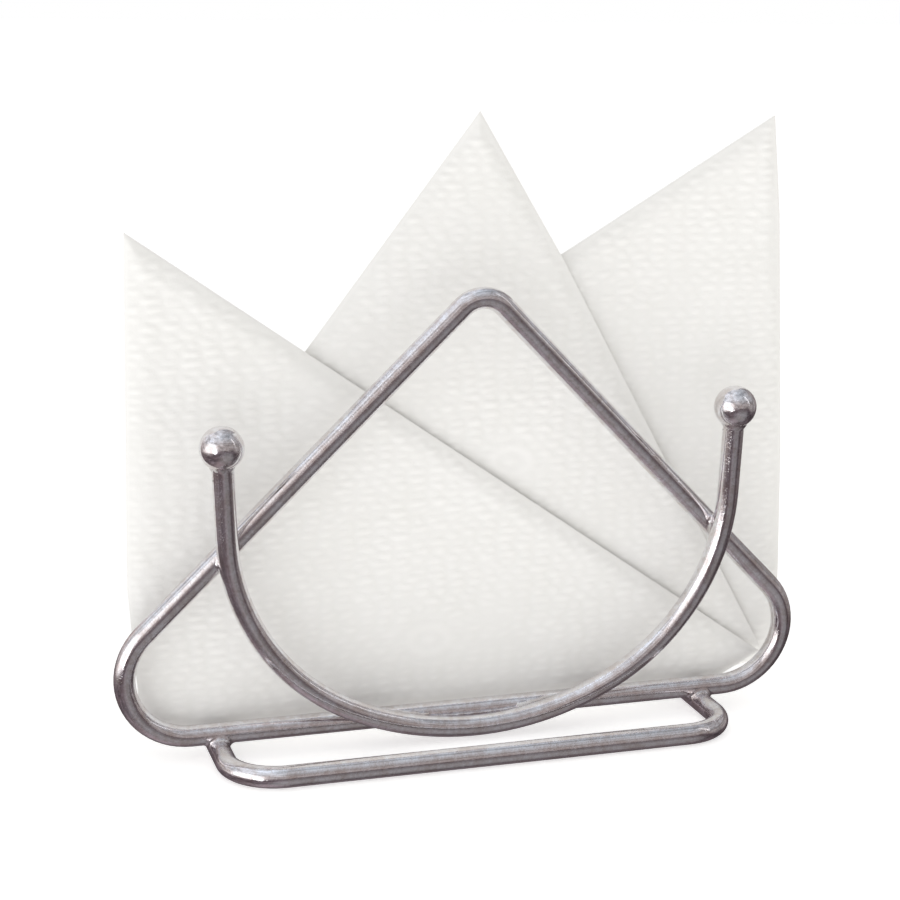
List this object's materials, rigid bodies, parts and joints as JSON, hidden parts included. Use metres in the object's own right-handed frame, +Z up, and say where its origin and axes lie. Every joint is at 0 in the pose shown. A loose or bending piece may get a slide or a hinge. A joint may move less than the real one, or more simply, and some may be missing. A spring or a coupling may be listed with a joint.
{
  "type": "napkin dispenser",
  "caption": "Tabletop wire napkin holder: two leaning panels, each a wire triangle with a smile-shaped wire and ball ends, on a wire foot, holding folded paper napkins.",
  "frame": {"origin": "on the table, midway between the two panels and midway along the foot", "axes": "+X to the right along the panels, +Y to the back, +Z up; the front panel faces -Y"},
  "size_m": [0.1626, 0.0682, 0.1406],
  "materials": {
    "chrome": "polished chrome plate on steel wire",
    "paper": "soft embossed white napkin tissue"
  },
  "bodies": {
    "holder": {"front_triangle": "chrome", "front_cradle": "chrome", "front_cradle_welds": "chrome", "front_left_ball": "chrome", "front_right_ball": "chrome", "front_ball_welds": "chrome", "rear_triangle": "chrome", "rear_cradle": "chrome", "rear_cradle_welds": "chrome", "rear_left_ball": "chrome", "rear_right_ball": "chrome", "rear_ball_welds": "chrome", "base_loop": "chrome", "base_welds": "chrome"},
    "left_napkin": {"left_napkin": "paper"},
    "centre_napkin": {"centre_napkin": "paper"},
    "right_napkin": {"right_napkin": "paper"}
  },
  "joints": [
    {"name": "left_napkin_lift", "type": "slide", "parent": "holder", "child": "left_napkin", "axis": [0, 0, 1], "range_m": [0, 0.11]},
    {"name": "centre_napkin_lift", "type": "slide", "parent": "holder", "child": "centre_napkin", "axis": [0, 0, 1], "range_m": [0, 0.11]},
    {"name": "right_napkin_lift", "type": "slide", "parent": "holder", "child": "right_napkin", "axis": [0, 0, 1], "range_m": [0, 0.11]}
  ]
}
